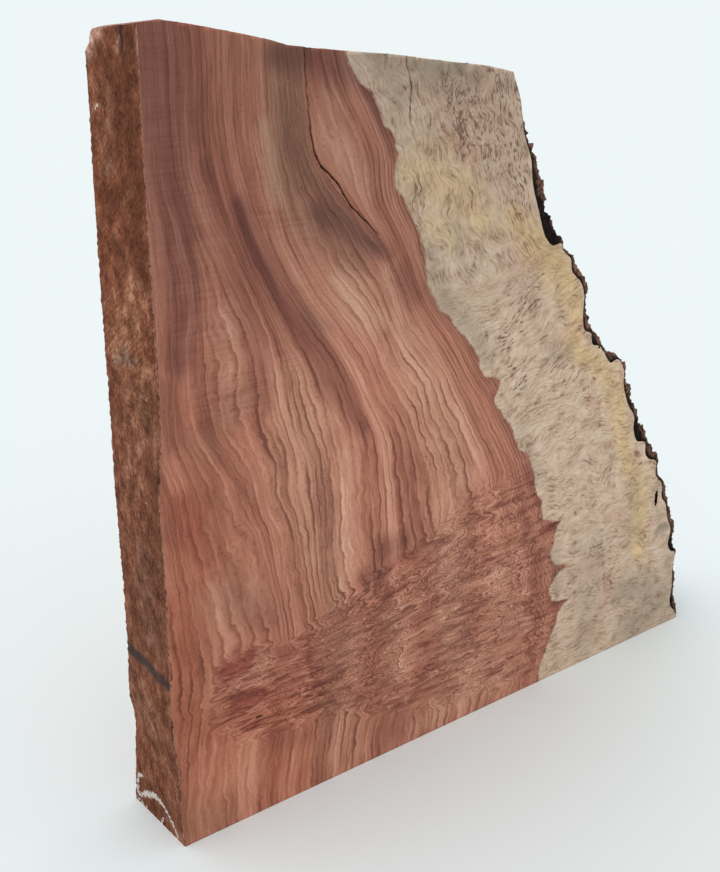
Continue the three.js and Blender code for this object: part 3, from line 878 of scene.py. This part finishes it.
tone = add(tree, "MapRange", {"Value": bands, "From Min": 0.3, "From Max": 0.7, "To Min": 0.27,
                              "To Max": 0.94})
tone = add(tree, "Math", {0: fibre_swing, 1: 0.6, 2: tone}, operation="MULTIPLY_ADD")
for darker in (dark_lines, pale_lines, fine_lines, pores, strips, saw_lines):
    tone = add(tree, "Math", {0: tone, 1: darker}, operation="SUBTRACT")
heart = add(tree, "ValToRGB", {"Fac": tone}, stops=[
    (0, "#6f3a2b"), (0.3, "#90553f"), (0.55, "#a96b53"), (0.8, "#bb7f67"), (1, "#c9927a")])
uneven = add(tree, "Math", {0: 1.5, 1: bands}, operation="SUBTRACT")
uneven = add(tree, "Math", {0: strips, 1: 1.8, 2: uneven}, operation="MULTIPLY_ADD")
heart = stained(tree, heart, HEART_MEAN, [
    ("tan", "#ae8671", 0.75), ("grey", "#7d5c4b", 0.85), ("purple_brown", "#734237", 0.85),
    ("warm", "#8f523a", 0.9), ("red", "#7a3c30", 0.95)], uneven)
edge_shade = add(tree, "MapRange", {"Value": border, "From Max": 5, "To Min": 0.8, "To Max": 1},
                 interpolation_type="SMOOTHSTEP")
heart = add(tree, "VectorMath", {"Vector": heart, "Scale": edge_shade}, operation="SCALE")

# Sapwood: fine streaks that follow the growth lines high up and cross them lower down, waving
# as they run, with dark hairs and short dashes along them, and ringed eyes in the upper part
beside = add(tree, "Mix", {"Factor": turned, "A": line, "B": crosswise}, data_type="FLOAT")
along = add(tree, "Mix", {"Factor": turned, "A": z, "B": x}, data_type="FLOAT")
for wave_size, wave_reach in ((13, 9), (4, 1.3)):
    waves = pattern(tree, (x, wave_size), (y, 25), (z, wave_size * 0.8), Detail=1)
    beside = add(tree, "Math", {0: waves, 1: wave_reach, 2: beside}, operation="MULTIPLY_ADD")
streaks = pattern(tree, (beside, 1.1), (y, 20), (along, 9), Detail=3, Roughness=0.7)
hairs = pattern(tree, (beside, HAIR), (y, 12), (along, 4), Detail=1.5)
mottling = pattern(tree, (x, 9), (y, 20), (z, 7), Detail=3, Distortion=0.6)
mottled = add(tree, "MapRange", {"Value": mottling, "From Min": 0.3, "From Max": 0.7,
                                 "To Min": -0.22, "To Max": 0.22})
hair_strength = add(tree, "MapRange", {"Value": mottling, "From Min": 0.42, "From Max": 0.62,
                                       "To Min": 0.4, "To Max": 0.08})
dark_hairs = add(tree, "MapRange", {"Value": hairs, "From Min": 0.53, "From Max": 0.7,
                                    "To Max": hair_strength})
dashes = pattern(tree, (beside, 0.9), (y, 6), (along, 2.8), Detail=1)
dashes = add(tree, "MapRange", {"Value": dashes, "From Min": 0.56, "From Max": 0.65,
                                "To Max": 0.95})
dashes = add(tree, "Math", {0: dashes, 1: dashed}, operation="MULTIPLY")
eyes = pattern(tree, (x, 4), (y, 12), (z, 5.5), Detail=2, Distortion=0.9)
eye_gap = add(tree, "Math", {0: eyes, 1: 0.52}, operation="SUBTRACT")
eye_gap = add(tree, "Math", {0: eye_gap}, operation="ABSOLUTE")
rings = add(tree, "MapRange", {"Value": eye_gap, "From Max": 0.05, "To Min": 0.55,
                               "To Max": 0}, interpolation_type="SMOOTHSTEP")
rings = add(tree, "Math", {0: rings, 1: eyed}, operation="MULTIPLY")
sap_tone = add(tree, "MapRange", {"Value": streaks, "From Min": 0.3, "From Max": 0.7,
                                  "To Min": 0.3, "To Max": 1})
sap_tone = add(tree, "Math", {0: sap_tone, 1: mottled}, operation="ADD")
grain = pattern(tree, (beside, HAIR), (y, 8), (along, 1.8), Detail=1)
grain = add(tree, "MapRange", {"Value": grain, "From Min": 0.3, "From Max": 0.7,
                               "To Min": -0.13, "To Max": 0.13})
sap_tone = add(tree, "Math", {0: sap_tone, 1: grain}, operation="ADD")
for darker in (dashes, rings, pores, dark_hairs):
    sap_tone = add(tree, "Math", {0: sap_tone, 1: darker}, operation="SUBTRACT")
sap = add(tree, "ValToRGB", {"Fac": sap_tone}, stops=[
    (0, "#7c5e4b"), (0.25, "#a4866f"), (0.6, "#bfa48c"), (1, "#d2b8a1")])
uneven = add(tree, "MapRange", {"Value": streaks, "From Min": 0.35, "From Max": 0.65,
                                "To Min": 0.65, "To Max": 1.1})
uneven = add(tree, "Math", {0: mottled, 1: 0.6, 2: uneven}, operation="MULTIPLY_ADD")
sap = stained(tree, sap, SAP_MEAN, [
    ("straw", "#bb9d6d", 0.9), ("pink", "#a87f6c", 0.7), ("grey", "#8c7c6a", 0.85)], uneven)

# The border is frayed along the curls. Dark marks, and cracks long closed, lie on both woods.
frayed = add(tree, "Math", {0: swing, 1: 3, 2: border}, operation="MULTIPLY_ADD")
frayed = add(tree, "Math", {0: fibre_swing, 1: 1.6, 2: frayed}, operation="MULTIPLY_ADD")
heart_share = add(tree, "MapRange", {"Value": frayed, "From Min": -0.6, "From Max": 0.6},
                  interpolation_type="SMOOTHSTEP")
colour = add(tree, "Mix", {"Factor": heart_share, "A": sap, "B": heart}, data_type="RGBA")
colour = marked(tree, colour, [
    ("dark_marks", "#4d3127", 0.45, 1, 0.85),
    ("closed_cracks", "#38211a", 0.62, 0.95, 0.85)], fibre_swing, 0.9)
# Scaled by the painted shade by height, lighter on the sawn top and darker on the cracks' walls
colour = add(tree, "VectorMath", {"Vector": colour, "Scale": shade}, operation="SCALE")
open_grain = add(tree, "Bump", {"Height": fibre, "Strength": 0.12, "Distance": OPEN_GRAIN_DEPTH})
surface = add(tree, "BsdfPrincipled", {"Base Color": colour, "Roughness": 0.62,
                                       "Specular IOR Level": 0.4, "Normal": open_grain})
add(tree, "OutputMaterial", {"Surface": surface})

# The rough left side. Dull brown heartwood torn by the saw, rustier high up: short fibres slant
# across it, and stains, a felt pen line and flakes of wax lie over them. It is quite matt, and
# its fibres and crumbs of wood are drawn coarser than they are, so that they show.
ROUGH_MEAN = "#7a4830"
# Which way the torn fibres run low down and high up, as a step along y and one along z
STEEP = (0.35, 0.94)
SLANTED = (0.8, -0.6)
TORN_FIBRE = 0.75
TORN_DEPTH = 0.4 * MM
CRUMB_DEPTH = 0.3 * MM

# Strokes of each stain and mark, whose points are the distance behind the front face, up and
# half width. The wax once sealed the end grain, and the nicks are in the front arris.
DARK_WOOD = [
    (0.8, [(3, 289, 5), (10, 291, 6), (8, 278, 6), (9, 262, 7)]),
    (0.5, [(5, 152, 7), (6, 120, 8), (5, 80, 7)]),
    (0.6, [(20, 278, 10), (19, 262, 10)]),
    (0.75, [(5, 252, 7), (8, 238, 8), (8, 224, 7), (6, 217, 5)]),
    (0.8, [(14, 262, 7), (20, 264, 6)]),
    (0.8, [(20, 222, 4), (25, 226, 3)]),
    (0.6, [(16, 243, 6), (28, 238, 6)]),
    (0.7, [(30, 288, 2), (35, 284, 3)]),
    (0.5, [(5, 178, 4), (9, 175, 3)]),
    (0.6, [(34, 103, 3), (31, 98, 2), (32, 85, 3)]),
    (0.6, [(24, 136, 3), (26, 133, 2)]),
    (0.7, [(20, 33, 4), (14, 36, 3), (24, 34, 3)]),
    (0.5, [(20, 8, 10), (30, 3, 8), (12, 12, 6)]),
    (0.5, [(8, 56, 5), (14, 52, 4)]),
    (0.45, [(27, 84, 8), (28, 60, 9), (28, 44, 9)]),
]
FRESH_WOOD = [
    (1, [(22, 293.5, 1.5), (28, 292, 3.5), (34, 289, 4.5), (37, 285, 3)]),
    (0.8, [(13.5, 290.5, 1.2), (14.5, 287, 1.2)]),
    (0.8, [(1, 292, 1.2), (1, 286, 0.8)]),
]
PALE_WOOD = [
    (0.6, [(13, 290, 2), (15, 287, 2)]),
    (0.9, [(12, 210, 9), (18, 203, 11), (24, 196, 10), (28, 186, 7)]),
    (0.5, [(26, 271, 9), (28, 256, 7)]),
    (0.5, [(10, 183, 8), (20, 178, 8)]),
    (0.6, [(24, 57, 4), (30, 60, 4)]),
    (0.4, [(18, 162, 10), (22, 146, 9)]),
    (0.5, [(20, 46, 12), (30, 48, 8)]),
]
GREY_SCUFFS = [
    (0.9, [(16, 187, 2.5), (24, 187, 4), (30, 184, 2)]),
    (0.7, [(23, 251, 3), (30, 248, 3)]),
    (0.6, [(12, 172, 5), (6, 165, 4)]),
    (0.6, [(14, 84, 8), (20, 100, 9), (16, 115, 8)]),
]
RUSTY = [(1, [(19, 300, 60), (19, 222, 50)])]
# How far in from the front arris a painted highlight reaches, in millimetres
ARRIS_HIGHLIGHT_WIDTH = 1.6
NICKS = [
    (1.2, [(9.5, 296, 1.3), (11.5, 292, 1.2), (10.5, 289, 1), (11.5, 286, 0.6)]),
    (1, [(0.6, 149.5, 1.4), (1.4, 148, 1.2)]),
    (1, [(0.6, 107.5, 1.3)]),
    (0.9, [(0.5, 236, 1)]),
    (0.9, [(0.6, 222, 1)]),
    (1, [(0.6, 55, 1.2), (1.2, 50, 1), (1.3, 43, 1)]),
    (1, [(0.8, 25, 1), (1, 20, 1)]),
    (0.8, [(0.5, 128, 1)]),
    (0.8, [(0.5, 83, 1)]),
]
PEN_LINE = [
    (1.1, [(1.5, 69.6, 3), (12, 68.9, 3.3), (20, 70, 3.2), (30, 68.9, 3.1), (38, 68.6, 3.6)]),
]
WAX = [
    (1, [(5.5, 1, 1.1), (8, 4.5, 1), (12, 7.5, 1), (16, 9.6, 1.1)]),
    (0.85, [(16, 9.6, 1.4), (21, 10.3, 2.2), (26, 8.6, 2), (30, 6.5, 2), (34, 3.5, 1.6)]),
    (1, [(16.3, 3.4, 0.8), (17.6, 0, 0.9)]),
    (1, [(32, 13.5, 0.9), (35.5, 12.5, 1.1), (36.5, 8, 1.1), (36, 3.5, 1.2)]),
    (0.7, [(37, 1, 1.2), (28, 0.5, 1)]),
    (0.7, [(8, 136, 0.5), (11.5, 137.6, 0.6)]),
    (0.7, [(4, 115.5, 0.7), (7.5, 118, 0.5)]),
    (0.6, [(30, 73, 0.6), (30.6, 78, 0.5)]),
    (0.8, [(31.3, 268.7, 1.1), (33.4, 267.8, 0.9)]),
    (0.6, [(18, 101, 0.8)]),
    (0.6, [(24, 101.5, 0.8)]),
    (0.7, [(22, 135, 0.6)]),
    (0.5, [(6.5, 176.5, 0.7), (9.5, 175, 0.7)]),
    (0.8, [(36, 203, 1.4)]),
]
for name, strokes in (("dark_wood", DARK_WOOD), ("pale_wood", PALE_WOOD),
                      ("grey_scuffs", GREY_SCUFFS), ("pen_line", PEN_LINE), ("wax", WAX),
                      ("rusty", RUSTY), ("nicks", NICKS), ("fresh_wood", FRESH_WOOD)):
    keep_on(name, np.where(rough, stain(strokes, depth, up), 0))
# The left side's front arris is painted lighter, a painted highlight
keep_on("arris_highlight", np.where(rough, np.clip(1 - depth / ARRIS_HIGHLIGHT_WIDTH, 0, 1), 0))

rough_side, tree = empty_material("torn heartwood")
place, x, y, z = object_place(tree)
torn_places = []
for run, rise in (STEEP, SLANTED):
    along = add(tree, "VectorMath", {0: place, 1: (0, run, rise)}, operation="DOT_PRODUCT")
    beside = add(tree, "VectorMath", {0: place, 1: (0, -rise, run)}, operation="DOT_PRODUCT")
    torn_places.append(sized(tree, [(x, 4), (along.outputs["Value"], 6),
                                    (beside.outputs["Value"], TORN_FIBRE)]))
high_up = add(tree, "MapRange", {"Value": z, "From Min": 165, "From Max": 182})
torn_place = add(tree, "Mix", {"Factor": high_up, "A": torn_places[0], "B": torn_places[1]},
                 data_type="VECTOR")
torn_fibre = add(tree, "TexNoise", {"Vector": torn_place, "Scale": 1, "Detail": 3,
                                    "Roughness": 0.6, "Distortion": 0.4})
patches = pattern(tree, (x, 6), (y, 6), (z, 7), Detail=4, Roughness=0.65)
crumbs = pattern(tree, (x, 1), (y, 1), (z, 1.2), Detail=2)
fibre_share = add(tree, "MapRange", {"Value": z, "From Min": 170, "From Max": 225,
                                     "To Min": 0.32, "To Max": 0.12})
tone = add(tree, "MapRange", {"Value": torn_fibre, "From Min": 0.3, "From Max": 0.7,
                              "To Min": -1, "To Max": 1})
tone = add(tree, "Math", {0: tone, 1: fibre_share, 2: 0.5}, operation="MULTIPLY_ADD")
for spots, share in ((patches, 0.46), (crumbs, 0.24)):
    uneven = add(tree, "MapRange", {"Value": spots, "From Min": 0.3, "From Max": 0.7,
                                    "To Min": -share, "To Max": share})
    tone = add(tree, "Math", {0: tone, 1: uneven}, operation="ADD")
colour = add(tree, "ValToRGB", {"Fac": tone}, stops=[
    (0, "#522a19"), (0.35, "#713f29"), (0.65, "#89533b"), (1, "#a46f57")])
uneven = add(tree, "MapRange", {"Value": patches, "From Min": 0.35, "From Max": 0.65,
                                "To Min": 0.55, "To Max": 1.3})
colour = stained(tree, colour, ROUGH_MEAN, [
    ("rusty", "#78432a", 0.9), ("dark_wood", "#57301c", 1), ("pale_wood", "#9a6a4d", 0.9),
    ("grey_scuffs", "#6b4a38", 0.9), ("fresh_wood", "#bb8f7b", 1)], uneven)
crumbled = add(tree, "Math", {0: crumbs, 1: -0.5}, operation="ADD")
# The front arris gets its painted highlight here
colour = marked(tree, colour, [
    ("pen_line", "#322d2c", 0.3, 0.95, 0.85), ("wax", "#d8ccc2", 0.45, 0.75, 0.95),
    ("arris_highlight", "#a8806d", 0.35, 0.9, 0.75), ("nicks", "#36201a", 0.45, 0.75, 0.85)],
    crumbled, 1.6)
fibre_relief = add(tree, "Bump", {"Height": torn_fibre, "Strength": 0.6, "Distance": TORN_DEPTH})
relief = add(tree, "Bump", {"Height": crumbs, "Strength": 0.6, "Distance": CRUMB_DEPTH,
                            "Normal": fibre_relief})
surface = add(tree, "BsdfPrincipled", {"Base Color": colour, "Roughness": 0.85,
                                       "Specular IOR Level": 0.15, "Normal": relief})
add(tree, "OutputMaterial", {"Surface": surface})

# The natural edge. Dead bark and cambium over the burl: nearly black in the hollows behind the
# front arris and in the fissures, partly dark bark and partly painted shade, lighter brown and
# dusty on what stands out, where the lighter brown is a painted highlight, and bare wood at the
# top.
SCALE_DEPTH = 0.8 * MM
DUST_SIZE = 0.8
DUST_DEPTH = 0.3 * MM
BARE_FROM = 252
# How deep the black, dark bark with painted shade over it, lies behind the front arris, as pairs of
# height and depth
BLACK_DEPTH = [
    (5, 0.6), (8, 2.5), (13, 2.5), (16, 0.4), (38, 0.4), (41, 4), (47, 4), (50, 0.6), (60, 0.6),
    (66, 1), (79, 1), (84, 0.6), (94, 1.2), (103, 1.2), (105, 4), (116, 4), (118, 0.9),
    (134, 0.9), (143, 0.7), (148, 2.4), (153, 2.4), (156, 4), (161, 4), (164, 0.4), (188, 0.5),
    (191, 1.2), (203, 1.2), (207, 6), (220, 6), (226, 1.4), (242, 1), (252, 0.6), (262, 0.6),
]
bark, tree = empty_material("burl bark")
black_depth = np.interp(up, *zip(*BLACK_DEPTH))
# The near black behind the front arris: dark bark, with painted shade in the hollows
dark_bark_and_painted_shade = np.interp(depth / black_depth, [0.27, 0.585], [1, 0])
keep_on("dark_bark_and_painted_shade", np.where(natural, dark_bark_and_painted_shade * np.interp(up, [BARE_FROM, BARE_FROM + 10], [1, 0]), 0))
# A painted highlight on the bark that stands out, and painted shade in its fissures, over the
# bark's own dark brown
standing_out = np.zeros(len(points))
standing_out[natural] = 0.5 + 0.5 * bumps - 0.8 * fissure
keep_on("standing_out", standing_out)
keep_on("bare_wood", np.where(natural, np.interp(up, [BARE_FROM, BARE_FROM + 8], [0, 1]), 0))
place, x, y, z = object_place(tree)
height_out, dark_bark_and_painted_shade_fac, bare = [add(tree, "Attribute", attribute_name=name).outputs["Fac"]
                          for name in ("standing_out", "dark_bark_and_painted_shade", "bare_wood")]
scales = pattern(tree, (x, 3), (y, 5), (z, 3), Detail=4, Roughness=0.65)
dust = pattern(tree, (x, DUST_SIZE), (y, DUST_SIZE), (z, DUST_SIZE), Detail=2)
scale_tone = add(tree, "MapRange", {"Value": scales, "From Min": 0.3, "From Max": 0.7})
tone = add(tree, "Math", {0: height_out, 1: 0.6}, operation="MULTIPLY")
tone = add(tree, "Math", {0: scale_tone, 1: 0.45, 2: tone}, operation="MULTIPLY_ADD")
dust_tone = add(tree, "MapRange", {"Value": dust, "From Min": 0.3, "From Max": 0.7,
                                   "To Min": -0.14, "To Max": 0.14})
tone = add(tree, "Math", {0: tone, 1: dust_tone}, operation="ADD")
tone = add(tree, "Math", {0: dark_bark_and_painted_shade_fac, 1: -0.7, 2: tone}, operation="MULTIPLY_ADD")
colour = add(tree, "ValToRGB", {"Fac": tone}, stops=[
    (0, "#160d09"), (0.2, "#33201a"), (0.45, "#5d4033"), (0.75, "#866350"), (1, "#ab8970")])
bare_colour = add(tree, "ValToRGB", {"Fac": scale_tone}, stops=[
    (0, "#6f5646"), (0.5, "#9c8371"), (1, "#b7a18f")])
colour = add(tree, "Mix", {"Factor": bare, "A": colour, "B": bare_colour}, data_type="RGBA")
scale_relief = add(tree, "Bump", {"Height": scales, "Strength": 0.6, "Distance": SCALE_DEPTH})
relief = add(tree, "Bump", {"Height": dust, "Strength": 0.5, "Distance": DUST_DEPTH,
                            "Normal": scale_relief})
surface = add(tree, "BsdfPrincipled", {"Base Color": colour, "Roughness": 0.9,
                                       "Specular IOR Level": 0.1, "Normal": relief})
add(tree, "OutputMaterial", {"Surface": surface})

mesh.materials.clear()
for material in (sawn_wood, rough_side, bark):
    mesh.materials.append(material)
chosen = np.where(left_faces, 1, np.where(natural_faces, 2, 0))
mesh.polygons.foreach_set("material_index", chosen.astype(np.int32))
bpy.ops.object.shade_smooth_by_angle(angle=math.radians(40))

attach(slice_piece, "root")
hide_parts("burl_slab")
